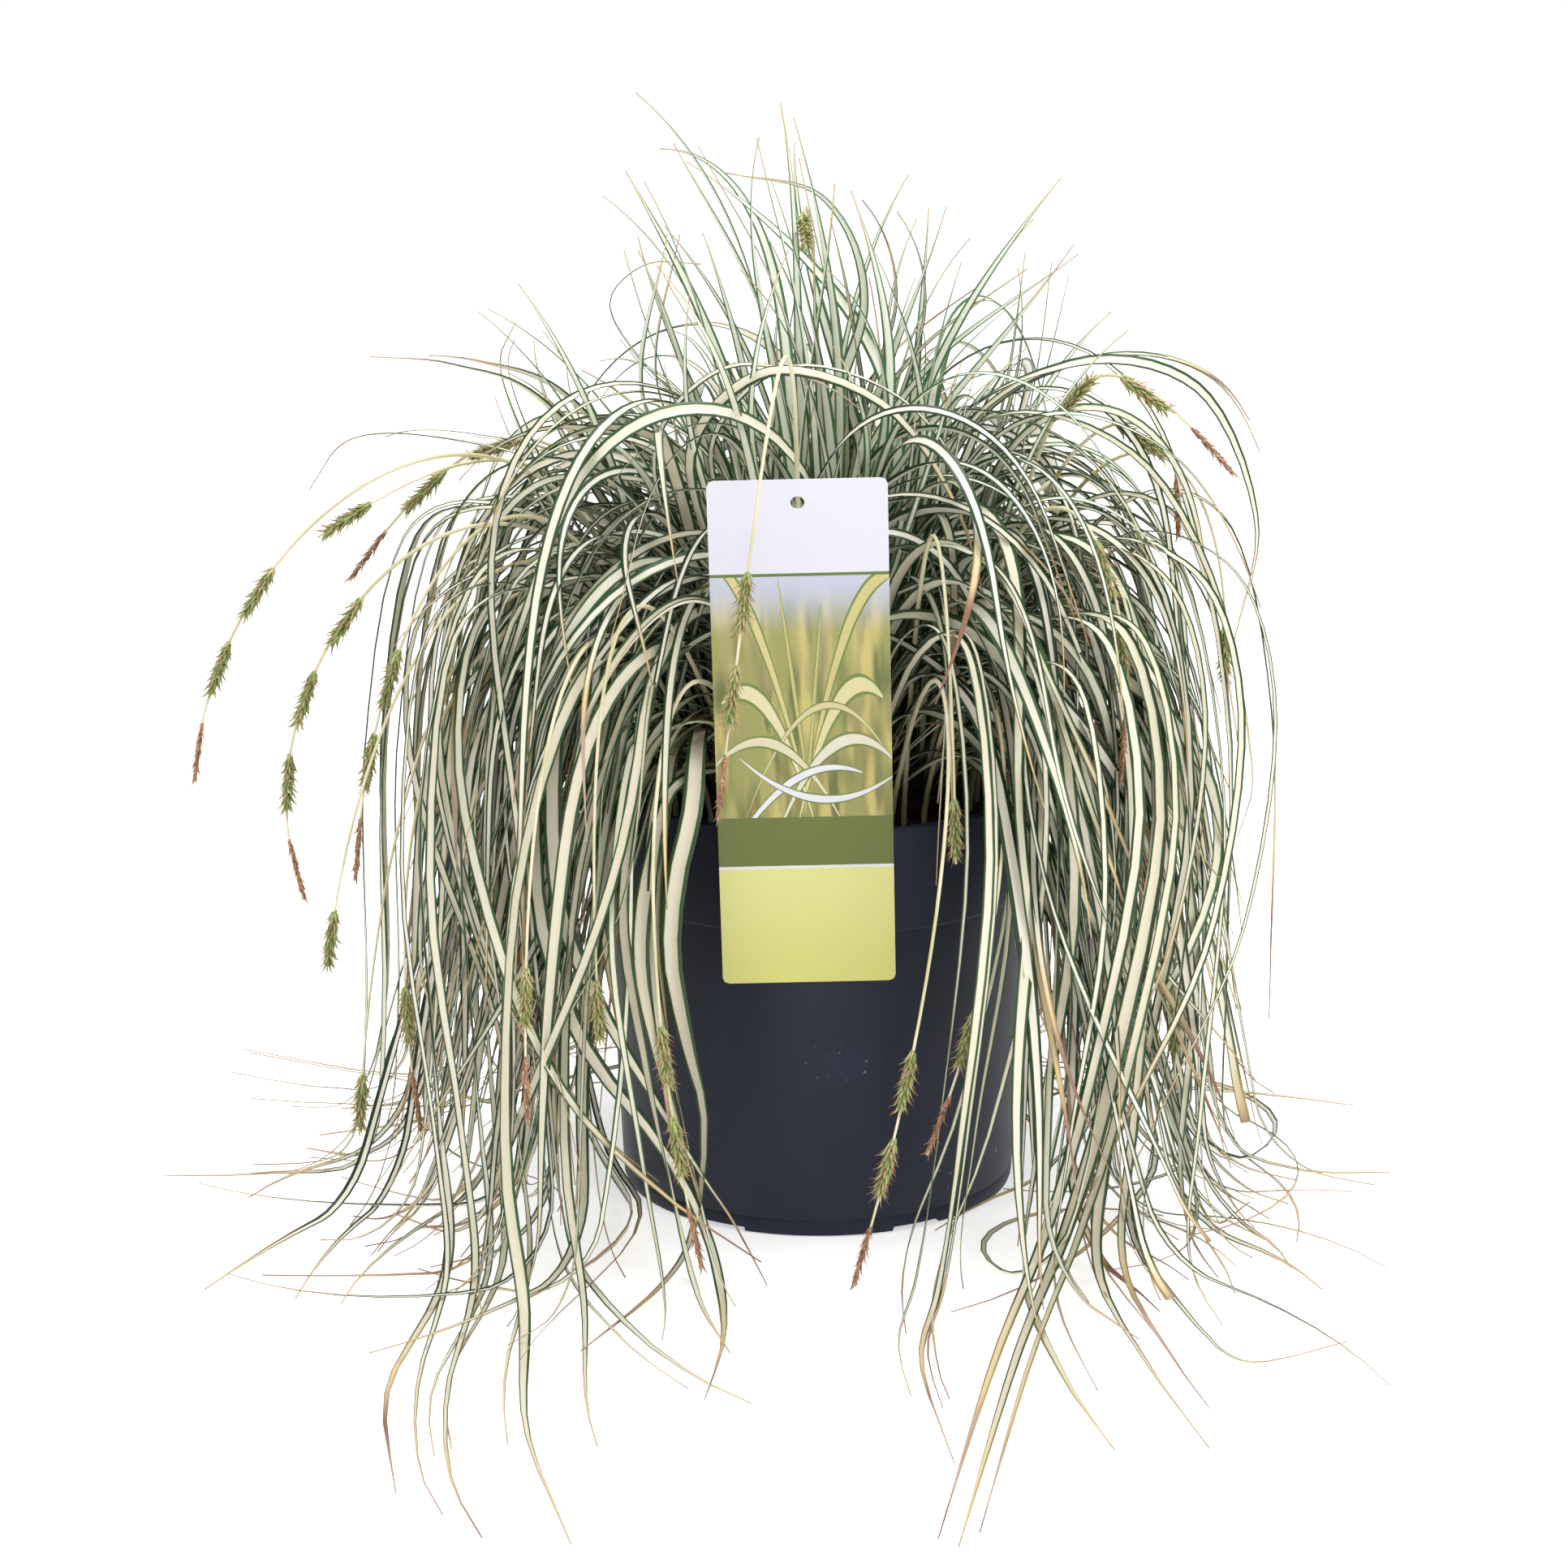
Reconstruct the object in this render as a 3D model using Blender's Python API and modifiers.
# A variegated sedge in a round nursery pot, with a plant label hooked over the pot's rim.
# Units are metres and +Z is up. The origin is the centre of the pot's underside.
# The front of the object, where the label hangs, faces -Y.

import random
from math import acos, cos, hypot, pi, radians, sin

import bmesh
import bpy
from mathutils import Matrix, Vector
from mathutils.bvhtree import BVHTree
from mathutils.geometry import interpolate_bezier

MM = 0.001
GAP = 0.3 * MM
UP = Vector((0, 0, 1))

# Pot: a 3 litre nursery pot with a flared collar
POT_SIDES = 36
POT_HEIGHT = 170 * MM
RIM_RADIUS = 95 * MM
RIM_ROUNDING = 0.8 * MM
COLLAR_FOOT = 126 * MM
COLLAR_FOOT_RADIUS = 87 * MM
BODY_TOP_RADIUS = 84.6 * MM
BASE_RADIUS = 78.3 * MM
BASE_ROUNDING = 2.2 * MM
WALL = 2 * MM
FLOOR = 4 * MM

# Drainage: notches in the foot, each with a round hole through the floor
DRAINS = 6
NOTCH_WIDTH = 22 * MM
NOTCH_HEIGHT = 2.4 * MM
NOTCH_START = 60 * MM
DRAIN_RADIUS = 4 * MM
DRAIN_RING = 66 * MM

# Soil, with plain holes for the shoots and the flower stems
SOIL_TOP = 157 * MM
HOLE_DEPTH = 12 * MM

# Label: a plastic card leaning on the rim and on the pot's wall, with a tongue over the rim
LABEL_WIDTH = 66 * MM
LABEL_LENGTH = 207 * MM
LABEL_THICKNESS = 0.8 * MM
LABEL_FOOT = 107 * MM
LABEL_SHIFT = -4 * MM
LABEL_ROLL = radians(1.4)
LABEL_CORNER = 2.5 * MM
PUNCH_RADIUS = 2.6 * MM
PUNCH_FROM_TOP = 9 * MM
TONGUE_WIDTH = 12 * MM
TONGUE_FOOT = 161 * MM
TONGUE_CLEARANCE = 1.3 * MM

# Shoots: short leafy bases in rings, each a stub that its leaves stand out of
STUB_SIDES = 6
STUB_FOOT_RADIUS = 7.5 * MM
STUB_NECK_RADIUS = 9.5 * MM
STUB_NECK = 172 * MM
STUB_TOP = 186 * MM
STUB_TOP_RADIUS = 3.5 * MM
ROOT_DEPTH = 3.5 * MM
ROOT_HEIGHT = 165 * MM
ROOT_PITCH = 4 * MM
ROOT_INSET = 1.2 * MM
ROOT_SPAN = 9 * MM
LEVELS = 4
GOLDEN_SHARE = 0.618
SLOT_STRAY = 8

# Leaves: keeled blades that taper to a fine tip
LEAF_STATIONS = 8
LEAF_KEEL = 1.0 * MM
LEAF_TIP_WIDTH = 1.0 * MM
LEAF_TIP_KEEL = 0.6 * MM
LEAF_STEP = 4 * MM
LEAF_CLEARANCE = 0.5 * MM
LANDING_RADIUS = 38 * MM
TIGHTEST_BEND = 46
STEEPEST = -88, -66
STRAY_TURN = -0.6
FRONT_TURN = 14
FRONT_START = -20 * MM
LEAF_TURN = 3.2
SIDE_TURN = 2.5
SWAY = 0.42
SWAY_START = 120 * MM
SWAY_PITCH = 72 * MM
LEVELLING = 0.15
LEADING_STAND = 3 * MM
LEADING_ROOT = 174 * MM
CURTAIN_RADIUS = 172 * MM
CURTAIN_FOOT = 70 * MM
SIDE_REACH = 262 * MM
FRONT_REACH = 385 * MM
LEAST_REACH = 0.64
LEAF_TRIES = 150
WIDENING = 1 / 30
NUDGE = 0.25 * MM
SEED = 7

# Flower stems: three-sided culms with short spikes of scales
CULM_RADIUS = 1.3 * MM
CULM_TIP_RADIUS = 0.8 * MM
CULM_STATIONS = 8
CULM_RING = 63 * MM
SPIKE_LENGTH = 25 * MM
SPIKE_SPACING = 34 * MM
SPIKE_CORE = 1.5 * MM
SPIKE_TIERS = 5
SCALE_REACH = 3.9 * MM


# Solids made of points and faces

def turned_left(ring, following):
    """Whether the next ring is turned anticlockwise, seen from ahead on the way to it."""
    line = sum(following, Vector()) - sum(ring, Vector())
    return line.dot((ring[1] - ring[0]).cross(following[1] - following[0])) > 0


def loft(rings, flat_sides=False):
    """Close a stack of equal rings into a solid. Sides that aren't flat are split in two, along
    the diagonal that bulges outwards, so a twisted blade doesn't pass through itself."""
    count = len(rings[0])
    points = [point for ring in rings for point in ring]
    faces = []
    for row in range(len(rings) - 1):
        left = turned_left(rings[row], rings[row + 1])
        for side in range(count):
            here = row * count + side
            beside = row * count + (side + 1) % count
            if flat_sides:
                faces.append((here, beside, beside + count, here + count))
            elif left:
                faces.append((here, beside, here + count))
                faces.append((beside, beside + count, here + count))
            else:
                faces.append((here, beside, beside + count))
                faces.append((here, beside + count, here + count))
    faces.append(tuple(reversed(range(count))))
    faces.append(tuple(range(len(points) - count, len(points))))
    return points, faces


def tree_of(rings):
    """Search tree of a loft, to test what it crosses."""
    points, faces = loft(rings)
    return BVHTree.FromPolygons(points, faces)


def new_object(name, mesh, collection):
    item = bpy.data.objects.new(name, mesh)
    collection.objects.link(item)
    return item


def loft_object(name, rings, collection, flat_sides=False):
    points, faces = loft(rings, flat_sides)
    mesh = bpy.data.meshes.new(name)
    mesh.from_pydata(points, [], faces)
    return new_object(name, mesh, collection)


def bmesh_object(name, form, collection):
    mesh = bpy.data.meshes.new(name)
    form.to_mesh(mesh)
    form.free()
    return new_object(name, mesh, collection)


def evaluated_mesh(item):
    graph = bpy.context.evaluated_depsgraph_get()
    return bpy.data.meshes.new_from_object(item.evaluated_get(graph))


def keep_largest_body(item):
    """Drop loose scraps and the walls of sealed hollows, which fills them."""
    form = bmesh.new()
    form.from_mesh(item.data)
    unseen = set(form.verts)
    bodies = []
    while unseen:
        body, edge_of_search = set(), [unseen.pop()]
        while edge_of_search:
            corner = edge_of_search.pop()
            body.add(corner)
            for edge in corner.link_edges:
                other = edge.other_vert(corner)
                if other in unseen:
                    unseen.discard(other)
                    edge_of_search.append(other)
        bodies.append(body)
    bodies.sort(key=len)
    for body in bodies[:-1]:
        bmesh.ops.delete(form, geom=list(body), context="VERTS")
    form.to_mesh(item.data)
    form.free()


def fuse(item, others, solver="MANIFOLD"):
    """Join every object of a collection to item in one Boolean union, then remove them."""
    union = item.modifiers.new("Fuse", "BOOLEAN")
    union.operation = "UNION"
    union.solver = solver
    union.operand_type = "COLLECTION"
    union.collection = others
    item.data = evaluated_mesh(item)
    item.modifiers.clear()
    keep_largest_body(item)
    for other in list(others.objects):
        bpy.data.objects.remove(other)
    bpy.data.collections.remove(others)


def new_collection(name, hidden=False):
    collection = bpy.data.collections.new(name)
    bpy.context.scene.collection.children.link(collection)
    collection.hide_render = hidden
    return collection


def cut(item, cutters):
    """Cut every object of a collection from item."""
    for cutter in cutters.objects:
        cutter.hide_render = True
        cutter.display_type = "WIRE"
    difference = item.modifiers.new("Cut", "BOOLEAN")
    difference.operation = "DIFFERENCE"
    difference.operand_type = "COLLECTION"
    difference.collection = cutters


def plain_material(name, colour, roughness):
    """A Principled material from an sRGB hex colour."""
    material = bpy.data.materials.new(name)
    material.use_nodes = True
    shader = material.node_tree.nodes["Principled BSDF"]
    channels = [int(colour[i:i + 2], 16) / 255 for i in (1, 3, 5)]
    linear = [((c + 0.055) / 1.055) ** 2.4 if c > 0.04 else c / 12.92 for c in channels]
    shader.inputs["Base Color"].default_value = (*linear, 1)
    shader.inputs["Roughness"].default_value = roughness
    shader.inputs["Metallic"].default_value = 0
    material.diffuse_color = (*linear, 1)
    return material


# Pot and soil

def pot_inside():
    """Radius and height down the pot's inner face, from the rim to the middle of the floor."""
    return [
        (RIM_RADIUS - WALL, POT_HEIGHT),
        (COLLAR_FOOT_RADIUS - WALL, COLLAR_FOOT + WALL),
        (BODY_TOP_RADIUS - WALL, COLLAR_FOOT - WALL),
        (BASE_RADIUS - WALL, FLOOR),
        (0, FLOOR),
    ]


def pot_outside():
    """Radius and height down the pot's outer face, from the rim to the middle of the base."""
    return [
        (RIM_RADIUS - RIM_ROUNDING, POT_HEIGHT),
        (RIM_RADIUS, POT_HEIGHT - RIM_ROUNDING),
        (COLLAR_FOOT_RADIUS, COLLAR_FOOT),
        (BODY_TOP_RADIUS, COLLAR_FOOT),
        (BASE_RADIUS, BASE_ROUNDING),
        (BASE_RADIUS - BASE_ROUNDING, 0),
        (0, 0),
    ]


def radius_at(profile, height):
    """Radius of a profile that runs down, at a height."""
    for (r1, z1), (r2, z2) in zip(profile, profile[1:]):
        if z2 < height <= z1:
            return r2 + (r1 - r2) * (height - z2) / (z1 - z2)
    return profile[0][0]


def turned(name, profile, collection):
    """A profile at +X, turned round the Z axis into a solid."""
    mesh = bpy.data.meshes.new(name)
    points = [(radius, 0, height) for radius, height in profile]
    edges = [(i, i + 1) for i in range(len(points) - 1)]
    mesh.from_pydata(points, edges, [])
    item = new_object(name, mesh, collection)
    screw = item.modifiers.new("Turn", "SCREW")
    screw.steps = POT_SIDES
    screw.render_steps = POT_SIDES
    screw.use_merge_vertices = True
    screw.merge_threshold = 0.01 * MM
    return item


def turned_rings(profile):
    """The same turned surface as rings of points, for the clearance tests."""
    rings = []
    for radius, height in profile:
        turns = [2 * pi * side / POT_SIDES for side in range(POT_SIDES)]
        rings.append([Vector((radius * cos(a), radius * sin(a), height)) for a in turns])
    return rings


def drain_cutters():
    """A notch under the foot and a hole through the floor, at each drain."""
    cutters = new_collection("pot_cutters", hidden=True)
    notch_length = RIM_RADIUS - NOTCH_START
    for index in range(DRAINS):
        turn = Matrix.Rotation(2 * pi * (index + 0.5) / DRAINS - pi / 2, 4, "Z")
        size = Matrix.Diagonal((notch_length, NOTCH_WIDTH, 2 * NOTCH_HEIGHT, 1))
        middle = Matrix.Translation((NOTCH_START + notch_length / 2, 0, 0))
        notch = bmesh.new()
        bmesh.ops.create_cube(notch, size=1, matrix=turn @ middle @ size)
        bmesh_object("notch_cutter", notch, cutters)
        hole = bmesh.new()
        bmesh.ops.create_cone(
            hole, cap_ends=True, segments=10, radius1=DRAIN_RADIUS, radius2=DRAIN_RADIUS,
            depth=4 * FLOOR, matrix=turn @ Matrix.Translation((DRAIN_RING, 0, 0)))
        bmesh_object("drain_cutter", hole, cutters)
    return cutters


def make_pot(parts):
    profile = list(reversed(pot_inside())) + pot_outside()
    pot = turned("pot", profile, parts)
    cut(pot, drain_cutters())
    pot.data.materials.append(plain_material("moulded_polypropylene", "#2b2f3b", 0.5))


def make_soil(parts, cutters):
    """The root ball fills the pot's body and collar, a gap clear of the wall and floor."""
    levels = [(radius - GAP, height) for radius, height in reversed(pot_inside()[:-1])]
    levels[0] = (levels[0][0], FLOOR + GAP)
    levels[-1] = (radius_at(pot_inside(), SOIL_TOP) - GAP, SOIL_TOP)
    form = bmesh.new()
    bmesh.ops.create_circle(form, cap_ends=True, radius=levels[0][0], segments=POT_SIDES)
    bmesh.ops.translate(form, vec=UP * levels[0][1], verts=form.verts)
    top = form.faces[:]
    for (below, low), (above, high) in zip(levels, levels[1:]):
        grown = bmesh.ops.extrude_face_region(form, geom=top + top[0].edges[:])
        top = [face for face in grown["geom"] if isinstance(face, bmesh.types.BMFace)]
        corners = top[0].verts[:]
        widen = Matrix.Diagonal((above / below, above / below, 1, 1))
        bmesh.ops.transform(form, matrix=widen, verts=corners)
        bmesh.ops.translate(form, vec=UP * (high - low), verts=corners)
    bmesh.ops.recalc_face_normals(form, faces=form.faces)
    soil = bmesh_object("soil", form, parts)
    cut(soil, cutters)
    soil.data.materials.append(plain_material("potting_soil", "#2a2019", 0.95))


# Label

def rounded_outline(width, bottom, top, corner):
    """Corner points of an upright card with rounded corners, anticlockwise."""
    points = []
    centres = [(1, top, 0), (-1, top, 90), (-1, bottom, 180), (1, bottom, 270)]
    for side, edge, start in centres:
        inward = -corner if edge == top else corner
        for turn in (0, 45, 90):
            angle = radians(start + turn)
            x = side * (width / 2 - corner) + corner * cos(angle)
            points.append((x, edge + inward + corner * sin(angle)))
    return points


def plate(name, outlines, thickness, place, collection):
    """A flat sheet with holes, from closed outlines in its own X and Y."""
    curve = bpy.data.curves.new(name, "CURVE")
    curve.dimensions = "2D"
    curve.fill_mode = "BOTH"
    curve.extrude = thickness / 2
    for outline in outlines:
        line = curve.splines.new("POLY")
        line.points.add(len(outline) - 1)
        line.use_cyclic_u = True
        for point, (x, y) in zip(line.points, outline):
            point.co = (x, y, 0, 1)
    flat = new_object(name, curve, collection)
    bpy.context.view_layer.update()
    form = bmesh.new()
    form.from_mesh(evaluated_mesh(flat))
    bpy.data.objects.remove(flat)
    bmesh.ops.remove_doubles(form, verts=form.verts, dist=0.01 * MM)
    bmesh.ops.recalc_face_normals(form, faces=form.faces)
    bmesh.ops.transform(form, matrix=place, verts=form.verts)
    return bmesh_object(name, form, collection)


def label_place():
    """Place of the label's foot: it leans on the rim and on the wall below the collar."""
    foot = radius_at(pot_outside(), LABEL_FOOT) + GAP
    lean = (RIM_RADIUS + GAP - foot) / (POT_HEIGHT - LABEL_FOOT)
    middle = Matrix.Translation((LABEL_SHIFT, -foot - LABEL_THICKNESS / 2, LABEL_FOOT))
    tilt = Matrix.Rotation(pi / 2 + lean, 4, "X")
    return middle @ tilt @ Matrix.Rotation(LABEL_ROLL, 4, "Z")


def make_label(parts):
    place = label_place()
    card = rounded_outline(LABEL_WIDTH, 0, LABEL_LENGTH, LABEL_CORNER)
    turns = [2 * pi * side / 12 for side in range(12)]
    middle = LABEL_LENGTH - PUNCH_FROM_TOP
    punch = [(PUNCH_RADIUS * cos(a), middle + PUNCH_RADIUS * sin(a)) for a in turns]
    label = plate("label", [card, punch], LABEL_THICKNESS, place, parts)
    label.data.materials.append(plain_material("printed_plastic_card", "#dfe0b0", 0.35))
    add_tongue(label)


def add_tongue(label):
    """The strip that goes from the card's back over the rim and down inside the pot."""
    inside = pot_inside()
    over = POT_HEIGHT + GAP
    back = RIM_RADIUS + GAP + LABEL_THICKNESS / 2
    near = radius_at(inside, POT_HEIGHT) - TONGUE_CLEARANCE
    far = radius_at(inside, TONGUE_FOOT) - TONGUE_CLEARANCE
    thick = LABEL_THICKNESS
    outline = [
        (-back, over),
        (-near, over),
        (-far, TONGUE_FOOT),
        (-far + thick, TONGUE_FOOT),
        (-near + thick, over + thick),
        (-back, over + thick),
    ]
    sideways = Matrix(((0, 0, 1, LABEL_SHIFT), (1, 0, 0, 0), (0, 1, 0, 0), (0, 0, 0, 1)))
    strips = new_collection("label_tongue")
    plate("tongue", [outline], TONGUE_WIDTH, sideways, strips)
    fuse(label, strips)


# Flower stems

# Each stem: compass angle of its root in the soil, then the point that it climbs towards, the
# point that its end comes down from and its tip, all in millimetres, and its count of spikes
STEMS = [
    (182, (-76, -6, 385), (-235, -20, 290), (-245, -20, 168), 3),
    (190, (-78, -30, 370), (-238, -50, 245), (-200, -50, 129), 4),
    (168, (-80, 24, 330), (-142, -2, 298), (-193, -28, 268), 1),
    (200, (-84, -40, 350), (-168, -60, 290), (-179, -60, 140), 3),
    (207, (-80, -50, 330), (-168, -68, 275), (-190, -70, 106), 1),
    (196, (-90, -30, 320), (-166, -55, 255), (-180, -60, 36), 1),
    (215, (-90, -66, 320), (-182, -76, 230), (-154, -80, 44), 2),
    (160, (-80, 26, 350), (-140, 20, 305), (-186, 20, 240), 3),
    (352, (82, -20, 375), (112, -30, 345), (159, -30, 293), 3),
    (5, (78, 5, 340), (146, -8, 330), (140, -10, 264), 2),
    (325, (66, -60, 350), (124, -80, 300), (114, -80, 186), 3),
    (14, (90, 20, 330), (164, 2, 330), (160, 0, 202), 1),
    (340, (84, -40, 300), (146, -50, 270), (139, -50, 30), 2),
    (301, (38, -90, 330), (46, -125, 320), (50, -125, 166), 1),
    (310, (60, -90, 300), (92, -135, 190), (40, -132, 54), 2),
    (296, (48, -110, 310), (64, -150, 190), (12, -160, 12), 3),
    (244, (-70, -110, 330), (-90, -132, 260), (-82, -140, 100), 1),
    (252, (-52, -110, 310), (-82, -150, 190), (-44, -168, 22), 3),
    (228, (-80, -90, 310), (-112, -150, 250), (-109, -150, 74), 2),
    (262, (-6, -76, 450), (-16, -152, 372), (-38, -142, 188), 3),
    (72, (34, 110, 350), (60, 190, 300), (40, 196, 150), 3),
    (110, (-30, 100, 330), (-60, 176, 270), (-84, 180, 90), 2),
    (140, (-84, 80, 340), (-150, 120, 300), (-160, 124, 130), 3),
    (38, (84, 70, 330), (140, 110, 290), (150, 120, 110), 2),
    (90, (4, 90, 420), (-10, 60, 390), (-5, 20, 372), 1),
]


def scaled_point(triple):
    return Vector(triple) * MM


def stem_line(row):
    """Points up a straight foot in the soil, then along one smooth arch to the tip."""
    compass, climb, fall, tip, spikes = row
    angle = radians(compass)
    foot = Vector((CULM_RING * cos(angle), CULM_RING * sin(angle), SOIL_TOP - HOLE_DEPTH + GAP))
    knee = foot + UP * (HOLE_DEPTH + 8 * MM)
    handles = scaled_point(climb), scaled_point(fall)
    arch = interpolate_bezier(knee, handles[0], handles[1], scaled_point(tip), 80)
    return [foot] + [Vector(point) for point in arch]


def along(points, distance):
    """The point at a distance along a line."""
    left = distance
    for start, end in zip(points, points[1:]):
        step = (end - start).length
        if left <= step:
            return start.lerp(end, left / step)
        left -= step
    return points[-1]


def line_length(points):
    return sum((b - a).length for a, b in zip(points, points[1:]))


def stations(points, count):
    """Points picked from a fine line, closer together where it turns more."""
    measure = [0]
    whole = line_length(points)
    for before, here, after in zip(points, points[1:], points[2:]):
        turn = (here - before).angle(after - here)
        measure.append(measure[-1] + (here - before).length / whole + turn / pi)
    measure.append(measure[-1] + (points[-1] - points[-2]).length / whole)
    picks = []
    for index in range(count):
        target = measure[-1] * index / (count - 1)
        nearest = min(range(len(points)), key=lambda i: abs(measure[i] - target))
        if not picks or nearest > picks[-1]:
            picks.append(nearest)
    return picks


def tube_rings(points, radii, turns=None):
    """Three-sided rings along a line, each turned round it as asked."""
    rings = []
    side = Vector((1, 0, 0))
    for index, point in enumerate(points):
        before = points[max(index - 1, 0)]
        after = points[min(index + 1, len(points) - 1)]
        forward = (after - before).normalized()
        side = (side - forward * side.dot(forward)).normalized()
        other = forward.cross(side)
        start = turns[index] if turns else 0
        radius = radii[index]
        angles = [start + 2 * pi * corner / 3 for corner in range(3)]
        rings.append([point + side * (radius * cos(a)) + other * (radius * sin(a)) for a in angles])
    return rings


def spike_marks(end, brown):
    """Distance, radius and turn of each ring of a spike: tiers of three scales, set between
    the three of the tier before."""
    marks = []
    pitch = SPIKE_LENGTH / SPIKE_TIERS
    start = end - SPIKE_LENGTH
    for tier in range(SPIKE_TIERS):
        fullness = sin(pi * (tier + 1) / (SPIKE_TIERS + 1)) ** 0.5
        reach = SCALE_REACH * fullness * (0.62 if brown else 1)
        turn = -tier * pi / 3
        marks.append((start + tier * pitch, SPIKE_CORE * (0.5 + 0.5 * fullness), turn))
        marks.append((start + (tier + 0.9) * pitch, reach, turn))
    marks.append((end, 0.6 * MM, -SPIKE_TIERS * pi / 3))
    return marks


def stem_rings(row):
    """Rings of a culm and of the spikes that follow each other up to its tip."""
    line = stem_line(row)
    whole = line_length(line)
    spikes = row[-1]
    first = whole - (spikes - 1) * SPIKE_SPACING - SPIKE_LENGTH
    picks = [line_length(line[:pick + 1]) for pick in stations(line, CULM_STATIONS)]
    picks = [0, line_length(line[:2])] + [pick for pick in picks if 25 * MM < pick < first - 6 * MM]
    marks = [(pick, CULM_RADIUS + (CULM_TIP_RADIUS - CULM_RADIUS) * pick / whole, 0) for pick in picks]
    for index in reversed(range(spikes)):
        marks += spike_marks(whole - index * SPIKE_SPACING, index == 0)
    points = [along(line, distance) for distance, radius, turn in marks]
    return tube_rings(points, [mark[1] for mark in marks], [mark[2] for mark in marks])


def make_stem(name, row, parts):
    stem = loft_object(name, stem_rings(row), parts)
    stem.data.materials.append(plain_material(name, "#a8a368", 0.6))


def stem_hole(row, cutters):
    """The stem's own three-sided foot, a gap wider all round, as a cutter."""
    foot, knee = stem_line(row)[:2]
    radius = CULM_RADIUS + 2 * GAP + 0.1 * MM
    rings = tube_rings([foot - UP * GAP, knee], [radius, radius])
    loft_object("stem_hole_cutter", rings, cutters, flat_sides=True)


# Leaves

# Each ring of shoots: how many, the ring's radius in millimetres and the compass angle of the first
SHOOT_RINGS = [(9, 46, 290), (5, 20, 306), (1, 0, 270)]

# How each kind of leaf grows. climb: degrees above level at its root; the rest is in
# millimetres. straight: how far it runs before it bends; hang: how far from the pot's axis
# it comes to hang
LOW = {"climb": (40, 62), "straight": (20, 50), "hang": (102, 140),
       "length": (150, 310), "width": (3.5, 6)}
MIDDLE = {"climb": (54, 74), "straight": (40, 90), "hang": (112, 165),
          "length": (230, 460), "width": (3.5, 7)}
HIGH = {"climb": (62, 84), "straight": (70, 125), "hang": (92, 168),
        "length": (230, 490), "width": (3.5, 6.5)}
YOUNG = {"climb": (72, 89), "straight": (60, 150), "hang": (110, 400),
         "length": (130, 230), "width": (2.5, 4.5)}
TUFT = {"climb": (79, 90), "straight": (120, 200), "hang": (200, 400),
        "length": (190, 285), "width": (3.5, 6)}

# Spaces at the front that the drawn leaves leave bare, from the floor up: each one's top, the y
# that it starts before and its two x's, in millimetres
BARE_FRONT = [
    (25, -85, -30, 34),
    (150, -50, -70, 72),
    (322, -85, -44, 40),
]

# The kinds that a shoot of each ring holds, and how far its leaves turn from straight out
RING_LEAVES = [
    ([LOW] * 4 + [MIDDLE] * 6 + [HIGH] * 3, 52),
    ([MIDDLE] * 2 + [HIGH] * 9 + [YOUNG] * 1, 90),
    ([HIGH] * 6 + [TUFT] * 5 + [YOUNG] * 3, 180),
]

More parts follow.
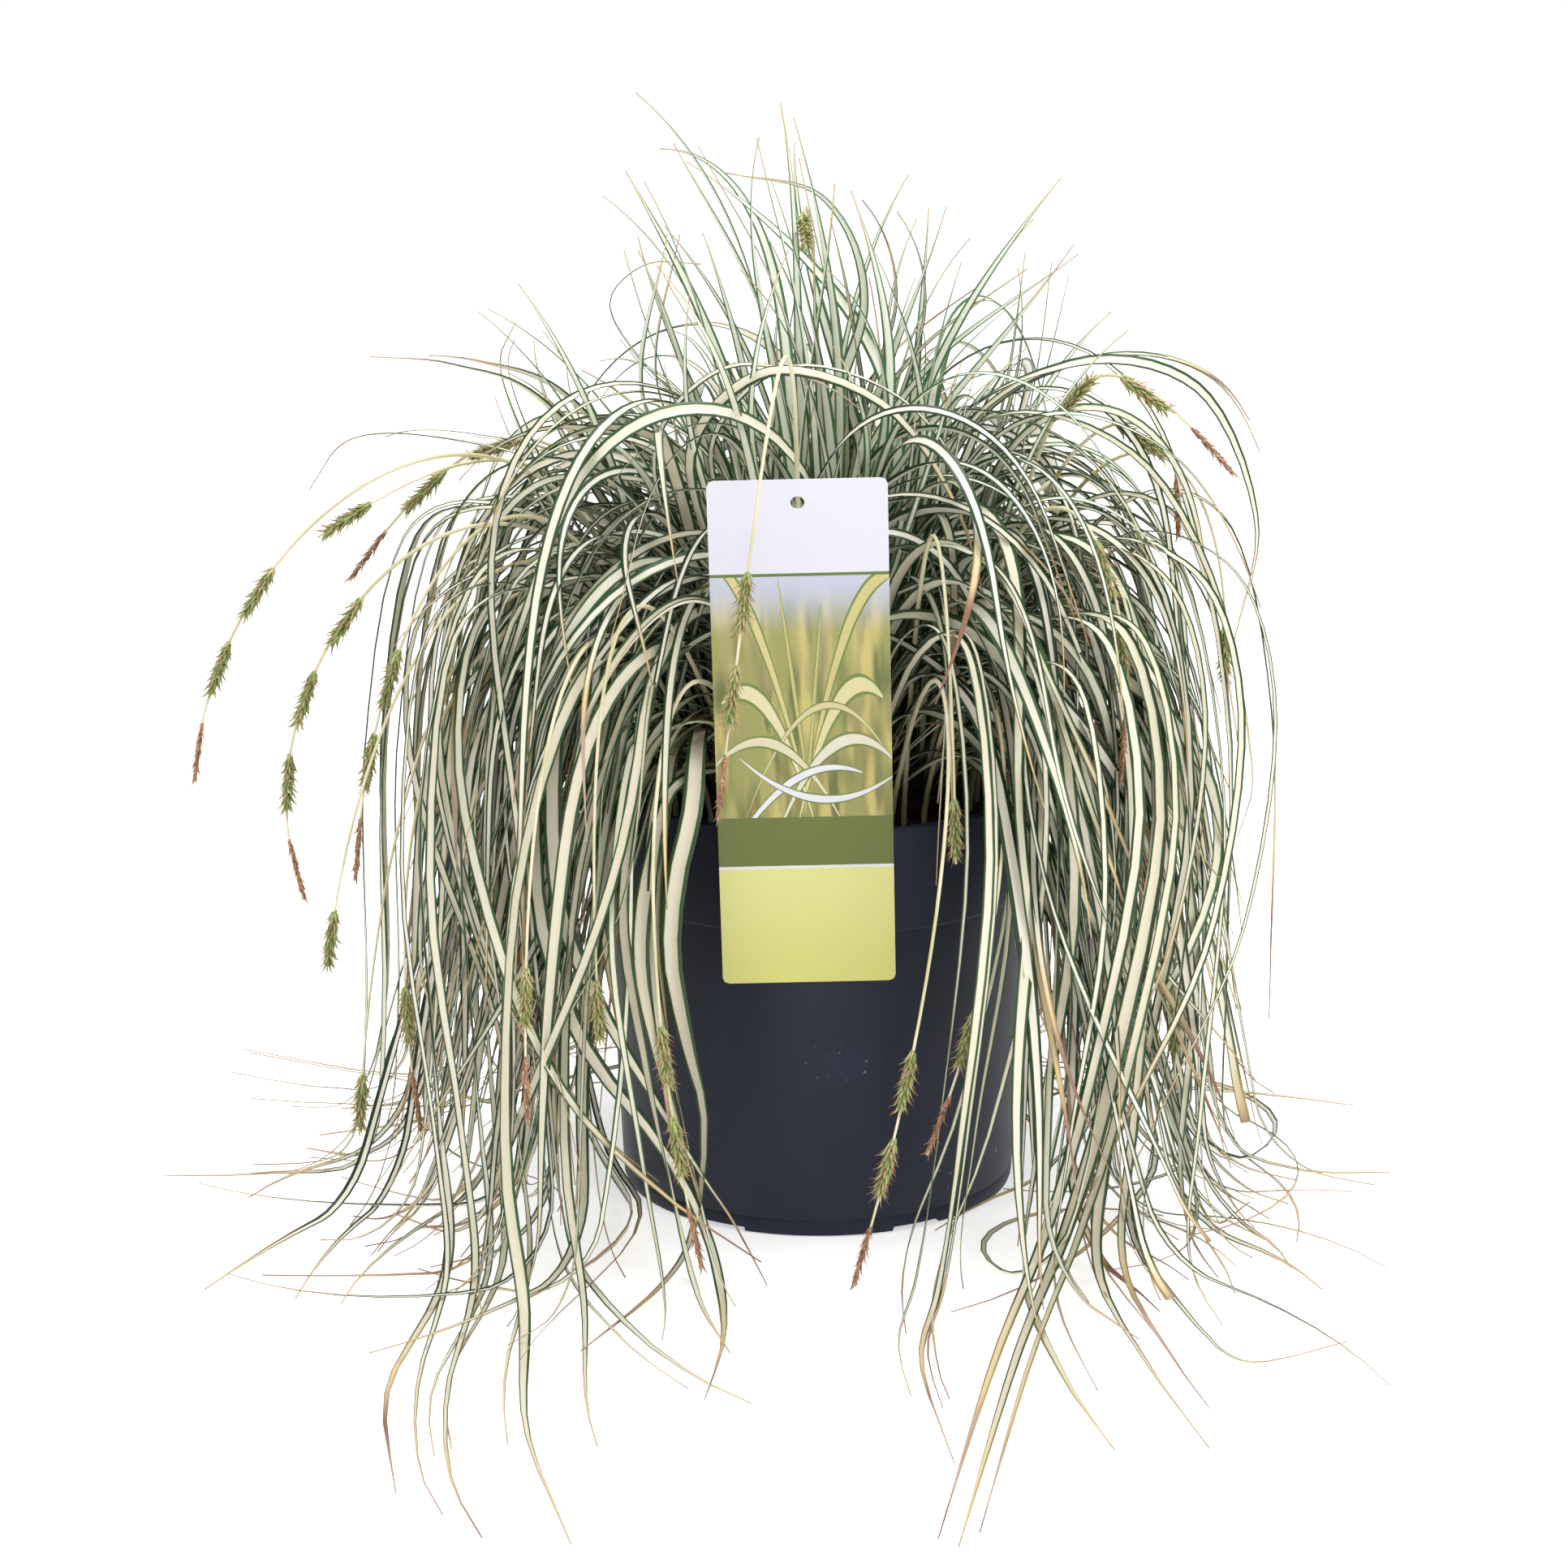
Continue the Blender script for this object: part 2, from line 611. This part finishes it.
# Leaves that show most, each by hand: its shoot, its width, its twist in degrees and the points
# that it passes through to its tip, in millimetres
LEADING_LEAVES = [
    (13, 6.5, 40, [(-60, -6, 255), (-105, -16, 318), (-140, -20, 334), (-172, -20, 337)]),
    (7, 5, 20, [(-85, -4, 250), (-104, -8, 284), (-120, -10, 328), (-114, -10, 348)]),
    (11, 4, 15, [(56, 2, 250), (72, 0, 320), (79, 0, 374)]),
    (15, 3.5, 60, [(6, 4, 260), (40, 4, 325), (100, 0, 373)]),
    (11, 6.5, 50, [(44, -14, 296), (96, -20, 334), (146, -20, 325), (170, -20, 273), (162, -20, 222)]),
    (10, 5.5, 30, [(34, -32, 284), (72, -34, 318), (121, -34, 301), (152, -36, 250),
                   (168, -36, 179), (163, -36, 150)]),
    (14, 5, 40, [(-40, -50, 263), (-48, -58, 310), (-19, -62, 339), (24, -62, 326), (52, -64, 286),
                 (66, -66, 236)]),
    (13, 3.5, 20, [(-48, 14, 247), (-100, 16, 285), (-150, 14, 299), (-184, 12, 298), (-200, 12, 278)]),
    (15, 3.5, 30, [(-24, 18, 280), (-66, 30, 322), (-82, 32, 348), (-68, 32, 364), (-46, 32, 364)]),
    (15, 4.5, 30, [(-6, 0, 270), (-22, 0, 350), (-56, 0, 416)]),
    (15, 4.5, 20, [(-1, 0, 260), (-8, 0, 340), (-26, 0, 418)]),
    (15, 4, -30, [(5, 3, 260), (2, 4, 340), (-12, 4, 410)]),
    (13, 4.5, 50, [(-54, 12, 260), (-84, 12, 318), (-74, 12, 381)]),
    (15, 5, 40, [(8, 8, 290), (24, 8, 352), (8, 8, 392), (-30, 6, 402)]),
    (2, 6.5, 20, [(70, -56, 235), (108, -92, 246), (122, -116, 180), (104, -128, 80), (88, -132, 22),
                  (66, -210, 4), (39, -372, 3)]),
    (3, 6, 30, [(94, 0, 270), (142, 2, 270), (163, 2, 190), (165, 0, 80), (167, 0, 18),
                (196, -3, 3), (232, -6, 3)]),
    (8, 5.5, -20, [(-88, -4, 262), (-146, -8, 268), (-167, -10, 180), (-169, -10, 70),
                   (-178, -11, 12), (-216, -12, 4), (-259, -13, 3)]),
    (7, 6, 20, [(-90, 20, 250), (-146, 30, 260), (-166, 36, 170), (-168, 42, 60), (-184, 48, 10),
                (-222, 56, 4), (-255, 64, 3)]),
    (9, 6, -30, [(-52, -70, 226), (-86, -110, 236), (-112, -126, 160), (-118, -136, 60),
                 (-110, -170, 8), (-104, -270, 3), (-84, -366, 3)]),
    (9, 6, 30, [(-48, -80, 210), (-70, -112, 206), (-80, -124, 150), (-72, -128, 90),
                (-62, -134, 40), (-52, -160, 10), (-40, -196, 3)]),
    (9, 5.5, 10, [(-40, -78, 190), (-60, -104, 186), (-66, -116, 140), (-62, -120, 90), (-58, -120, 50)]),
    (7, 6, 30, [(-96, -16, 262), (-146, -40, 252), (-158, -66, 200), (-142, -92, 130),
                (-116, -110, 78), (-80, -122, 44), (-44, -134, 22)]),
    (2, 5, -30, [(92, -30, 262), (140, -56, 262), (158, -74, 210), (146, -98, 130),
                 (118, -114, 70), (98, -124, 30)]),
    (8, 6, 40, [(-84, -44, 256), (-124, -72, 262), (-146, -88, 180), (-142, -96, 70),
                (-136, -130, 8), (-150, -240, 3), (-140, -330, 3)]),
    (2, 6, -20, [(84, -44, 256), (118, -66, 262), (136, -84, 170), (128, -104, 60), (122, -134, 10),
                 (134, -210, 3), (151, -292, 3)]),
    (1, 5, 20, [(52, -78, 226), (82, -110, 230), (92, -124, 150), (80, -130, 60), (74, -150, 10),
                (84, -230, 3), (98, -296, 3)]),
    (10, 6, 60, [(-10, -84, 230), (-50, -104, 262), (-84, -112, 226), (-98, -116, 160)]),
    (9, 4.5, 40, [(-58, -62, 236), (-92, -96, 240), (-112, -112, 180), (-106, -112, 70),
                  (-98, -122, 12), (-75, -181, 4), (-50, -227, 3), (-28, -254, 3)]),
    (8, 5, 30, [(-80, -50, 250), (-126, -84, 250), (-138, -104, 160), (-128, -108, 60),
                (-122, -132, 10), (-126, -227, 4), (-120, -300, 3), (-106, -350, 3)]),
    (2, 4, 20, [(76, -40, 250), (116, -70, 256), (130, -94, 170), (112, -106, 60), (108, -120, 10),
                (122, -189, 4), (141, -241, 3), (180, -223, 3)]),
    (1, 4, 20, [(44, -84, 220), (64, -112, 222), (66, -122, 150), (48, -120, 60), (30, -124, 10),
                (25, -189, 4), (33, -256, 3), (67, -281, 3), (100, -276, 3)]),
    (1, 4.5, -20, [(36, -88, 236), (54, -124, 246), (62, -140, 170), (52, -142, 60), (44, -156, 10),
                   (36, -212, 4), (45, -300, 3)]),
    (7, 4, 20, [(-86, 34, 244), (-136, 52, 262), (-156, 64, 180), (-158, 74, 60), (-172, 82, 10),
                (-202, 88, 4), (-232, 104, 3), (-264, 121, 3)]),
    (9, 4, 20, [(-40, -88, 200), (-50, -116, 202), (-56, -140, 140), (-46, -142, 60),
                (-38, -148, 10), (-37, -186, 4), (-43, -249, 3)]),
]


def shoots():
    """Name, centre, compass angle and ring of every shoot."""
    found = []
    for ring, (count, radius, first) in enumerate(SHOOT_RINGS):
        for index in range(count):
            angle = radians(first + 360 * index / count)
            centre = Vector((cos(angle), sin(angle), 0)) * (radius * MM)
            found.append((f"leaf_shoot_{len(found) + 1:02d}", centre, angle, ring))
    return found


def stub_rings(centre, swell=0):
    """A shoot's stub: it widens out of the soil and closes over the roots of its leaves."""
    heights = [SOIL_TOP - HOLE_DEPTH + GAP, STUB_NECK, STUB_TOP]
    radii = [STUB_FOOT_RADIUS, STUB_NECK_RADIUS, STUB_TOP_RADIUS]
    rings = []
    for height, radius in zip(heights, radii):
        turns = [2 * pi * side / STUB_SIDES for side in range(STUB_SIDES)]
        level = centre + UP * (height - swell)
        rings.append([level + Vector((cos(a), sin(a), 0)) * (radius + swell) for a in turns])
    return rings


def ground_turn(heading, place, turn):
    """How fast a leaf on the ground turns: most of those before the pot swing to the front."""
    if place.y > FRONT_START or turn < STRAY_TURN:
        return SIDE_TURN * turn
    return FRONT_TURN * sin(-pi / 2 - heading)


def beyond_reach(point, share):
    """Past a share of the ground that the leaves cover, which is longer to the front."""
    depth = FRONT_REACH if point.y < 0 else SIDE_REACH
    return hypot(point.x / SIDE_REACH, point.y / depth) > share


def arching_line(root, heading, climb, straight, bend, length, steepest, turn, lie, sway, ground):
    """A leaf's line and its sideways directions: straight from the root, bent down by its
    weight, swaying from side to side, then laid along the ground."""
    place = root.copy()
    angle = climb
    reach, start = sway
    points, sides = [], []
    for step in range(int(length / LEAF_STEP) + 1):
        points.append(place.copy())
        side = Vector((-sin(heading), cos(heading), 0))
        sides.append(side)
        ease = min(1, step * LEAF_STEP / straight) ** 2
        angle = max(angle - bend * (0.1 + 0.9 * ease) * cos(angle) * LEAF_STEP, steepest)
        room = max(place.z - lie, 0)
        if angle < 0 and room < LANDING_RADIUS * (1 - cos(angle)):
            angle = -acos(1 - room / LANDING_RADIUS)
        rate = turn if room > LANDING_RADIUS else ground_turn(heading, place, turn)
        heading += rate * LEAF_STEP
        flat = Vector((cos(heading), sin(heading), 0))
        lean = reach * min(1, step * LEAF_STEP / SWAY_START) * sin(start + step * LEAF_STEP / SWAY_PITCH)
        place += (flat * cos(angle) + UP * sin(angle) + side * lean).normalized() * LEAF_STEP
        if beyond_reach(place, ground):
            break
    return points, sides


def leaf_width(share, width):
    """Width along a leaf: narrow at the root, full to past the middle, then a long taper."""
    swelling = min(1, 0.45 + 2.2 * share)
    taper = max(0, (share - 0.5) / 0.5) ** 1.4
    return max(width * swelling * (1 - taper), LEAF_TIP_WIDTH)


def leaf_rings(leaf, swell=0):
    """Three-cornered rings of a leaf: its two edges and the keel below."""
    points, sides, width, twist = leaf
    rings = []
    for pick in stations(points, LEAF_STATIONS):
        share = pick / (len(points) - 1)
        before = points[max(pick - 1, 0)]
        after = points[min(pick + 1, len(points) - 1)]
        forward = (after - before).normalized()
        face = forward.cross(sides[pick]).normalized()
        turn = Matrix.Rotation(twist * share, 3, forward)
        face = turn @ face
        across = face.cross(forward)
        half = leaf_width(share, width) / 2 + 1.5 * swell
        keel = LEAF_KEEL + (LEAF_TIP_KEEL - LEAF_KEEL) * share
        spine = points[pick] + face * swell
        rings.append([spine + across * half, spine - across * half, spine - face * (keel + 2 * swell)])
    return rings


def smooth_line(points):
    """A smooth line through points, in short steps."""
    line = [points[0]]
    ends = [2 * points[0] - points[1]] + points + [2 * points[-1] - points[-2]]
    for before, start, end, after in zip(ends, ends[1:], ends[2:], ends[3:]):
        count = max(2, round((end - start).length / LEAF_STEP)) + 1
        pull, push = start + (end - before) / 6, end - (after - start) / 6
        line += [Vector(point) for point in interpolate_bezier(start, pull, push, end, count)[1:]]
    return line


def leading_leaf(row, nudge):
    """A hand-placed leaf, nudged: its line, sideways directions, width and twist."""
    number, width, twist, passes = row
    centre = shoots()[number - 1][1]
    passes = [scaled_point(point) + nudge for point in passes]
    heading = Vector((passes[0].x - centre.x, passes[0].y - centre.y, 0)).normalized()
    points = smooth_line([centre + heading * LEADING_STAND + UP * LEADING_ROOT] + passes)
    side = UP.cross(heading)
    sides = []
    for here, ahead in zip(points, points[1:]):
        forward = (ahead - here).normalized()
        level = UP.cross(forward) if UP.cross(forward).dot(side) > 0 else forward.cross(UP)
        side = side - forward * side.dot(forward) + level * LEVELLING
        side.normalize()
        sides.append(side.copy())
    return points, sides + sides[-1:], width * MM, radians(twist)


def drawn_leaf(draw, centre, compass, stray, kind, level):
    """A leaf by its kind's rule: its line, sideways directions, width and twist."""
    heading = compass + radians(draw.gauss(0, stray))
    climb = radians(draw.uniform(*kind["climb"]))
    straight = draw.uniform(*kind["straight"]) * MM
    hang = draw.uniform(*kind["hang"]) * MM
    length = draw.uniform(*kind["length"]) * MM
    width = draw.uniform(*kind["width"]) * MM
    steepest = radians(draw.uniform(*STEEPEST))
    turn = draw.gauss(0, LEAF_TURN)
    lie = draw.uniform(2, 9) * MM
    sway = draw.gauss(0, SWAY), draw.uniform(0, 2 * pi)
    ground = LEAST_REACH + (1 - LEAST_REACH) * draw.random() ** 2
    twist = radians(draw.gauss(0, 45))
    out = Vector((cos(heading), sin(heading), 0))
    stand = STUB_NECK_RADIUS - ROOT_DEPTH - level * ROOT_INSET
    root = centre + out * stand + UP * (ROOT_HEIGHT + level * ROOT_PITCH)
    room = hang - root.dot(out) - 0.8 * straight * cos(climb)
    bend = min((climb - steepest) / max(room, 1 * MM), TIGHTEST_BEND)
    points, sides = arching_line(
        root, heading, climb, straight, bend, length, steepest, turn, lie, sway, ground)
    return points, sides, width, twist


def keeps_its_place(point):
    """Whether a drawn leaf may pass a point: it stays out of the bare spaces at the front, and
    doesn't hang outside the curtain."""
    if point.z > CURTAIN_FOOT and hypot(point.x, point.y) > CURTAIN_RADIUS:
        return False
    for top, depth, left, right in BARE_FRONT:
        if point.z < top * MM:
            return point.y > depth * MM or not left * MM < point.x < right * MM
    return True


def free_rings(rings):
    """A leaf's rings from where it comes out of its stub."""
    share = ROOT_SPAN / (rings[1][0] - rings[0][0]).length
    way_out = [start.lerp(end, share) for start, end in zip(rings[0], rings[1])]
    return [way_out] + rings[1:]


def crosses(name, whole, free, placed):
    """Whether a leaf meets another shoot's leaf anywhere, or its own shoot's outside the stub."""
    for owner, other, other_free in placed:
        if owner != name and whole.overlap(other):
            return True
        if owner == name and other_free and free.overlap(other_free):
            return True
    return False


def put(name, leaf, placed, grown):
    """Keep a leaf if it crosses nothing, and say whether it was kept."""
    swollen = leaf_rings(leaf, LEAF_CLEARANCE)
    whole, free = tree_of(swollen), tree_of(free_rings(swollen))
    if crosses(name, whole, free, placed):
        return False
    placed.append((name, whole, free))
    grown[name].append(leaf)
    return True


def grown_leaves(fixed):
    """The leaves of every shoot. A leaf that would cross something is drawn again."""
    placed = [(None, tree, None) for tree in fixed]
    grown = {}
    for name, centre, compass, ring in shoots():
        placed.append((name, tree_of(stub_rings(centre, GAP)), None))
        grown[name] = []
    for index, row in enumerate(LEADING_LEAVES):
        name = shoots()[row[0] - 1][0]
        draw = random.Random(SEED + index)
        for attempt in range(LEAF_TRIES):
            far = attempt * NUDGE
            nudge = Vector((draw.uniform(-far, far), draw.uniform(-far, far), 0))
            if put(name, leading_leaf(row, nudge), placed, grown):
                break
    most = max(len(kinds) for kinds, spread in RING_LEAVES)
    for turn in range(most):
        for number, (name, centre, compass, ring) in enumerate(shoots()):
            kinds, spread = RING_LEAVES[ring]
            if turn >= len(kinds):
                continue
            draw = random.Random(SEED + 1000 * number + turn)
            level = LEVELS * turn // len(kinds)
            slot = compass + radians(spread) * (2 * (turn * GOLDEN_SHARE % 1) - 1)
            for attempt in range(LEAF_TRIES):
                stray = SLOT_STRAY * (1 + attempt * WIDENING)
                leaf = drawn_leaf(draw, centre, slot, stray, kinds[turn], level)
                in_place = all(keeps_its_place(point) for point in leaf[0])
                if in_place and put(name, leaf, placed, grown):
                    break
    return grown


def fixed_trees():
    """What the leaves keep clear of: the pot, the soil, the label and the flower stems."""
    pot = turned_rings(list(reversed(pot_inside()))[1:] + pot_outside()[:-1])
    soil = turned_rings([(1 * MM, SOIL_TOP), (radius_at(pot_inside(), SOIL_TOP), SOIL_TOP)])
    place = label_place()
    half = LABEL_WIDTH / 2
    corners = [(-half, 0), (half, 0), (half, LABEL_LENGTH), (-half, LABEL_LENGTH)]
    card = []
    for depth in (-2 * LABEL_THICKNESS, 2 * LABEL_THICKNESS):
        card.append([place @ Vector((x, y, depth)) for x, y in corners])
    return [tree_of(pot), tree_of(soil), tree_of(card)] + [tree_of(stem_rings(row)) for row in STEMS]


def make_shoot(name, centre, leaves, parts):
    shoot = loft_object(name, stub_rings(centre), parts, flat_sides=True)
    blades = new_collection(name + "_leaves")
    for leaf in leaves:
        loft_object("leaf", leaf_rings(leaf), blades)
    fuse(shoot, blades)
    shoot.data.materials.append(plain_material(name, "#bdb98a", 0.45))


def make_model():
    for item in list(bpy.data.objects):
        bpy.data.objects.remove(item)
    parts = new_collection("carex_sedge")
    make_pot(parts)
    make_label(parts)
    holes = new_collection("soil_cutters", hidden=True)
    for row in STEMS:
        stem_hole(row, holes)
    for name, centre, compass, ring in shoots():
        loft_object("stub_hole_cutter", stub_rings(centre, GAP), holes, flat_sides=True)
    make_soil(parts, holes)
    for index, row in enumerate(STEMS):
        make_stem(f"flower_stem_{index + 1:02d}", row, parts)
    grown = grown_leaves(fixed_trees())
    for name, centre, compass, ring in shoots():
        make_shoot(name, centre, grown[name], parts)


make_model()
